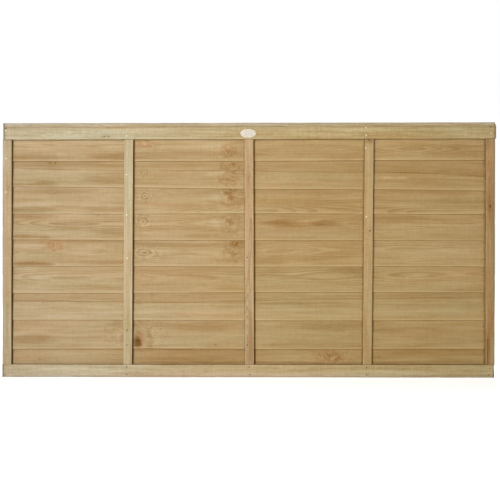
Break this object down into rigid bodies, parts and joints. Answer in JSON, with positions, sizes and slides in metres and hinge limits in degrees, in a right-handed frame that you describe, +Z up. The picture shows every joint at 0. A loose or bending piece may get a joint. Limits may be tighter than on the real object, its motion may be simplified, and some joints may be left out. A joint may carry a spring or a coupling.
{
  "type": "overlap fence panel",
  "caption": "Overlap fence panel: thin sawn boards lapped between a front and a back frame of battens, with a cap strip, to close the gap between two posts.",
  "frame": {"origin": "foot of the left end seen from the front, on the end face of the front bottom rail, at the back edge of the front frame", "axes": "+X along the panel from the left end to the right, +Y from the front of the panel to its back, +Z up"},
  "size_m": [1.8325, 0.0532, 0.945],
  "materials": {
    "boards": "sawn softwood, pressure treated, warm tan with knots",
    "framing": "sawn softwood, pressure treated, pale green-tan",
    "cap": "sawn softwood, pressure treated, pale",
    "nails": "galvanised, dull, some stained dark",
    "plate": "white, satin"
  },
  "bodies": {
    "root": {"cap_strip": "cap", "front_top_rail": "framing", "front_bottom_rail": "framing", "front_left_stile": "framing", "front_right_stile": "framing", "front_batten_1": "framing", "front_batten_2": "framing", "front_batten_3": "framing", "lap_board_1": "boards", "lap_board_2": "boards", "lap_board_3": "boards", "lap_board_4": "boards", "lap_board_5": "boards", "lap_board_6": "boards", "lap_board_7": "boards", "lap_board_8": "boards", "lap_board_9": "boards", "back_top_rail": "framing", "back_bottom_rail": "framing", "back_left_stile": "framing", "back_right_stile": "framing", "back_batten_1": "framing", "back_batten_2": "framing", "back_batten_3": "framing"}
  },
  "joints": []
}
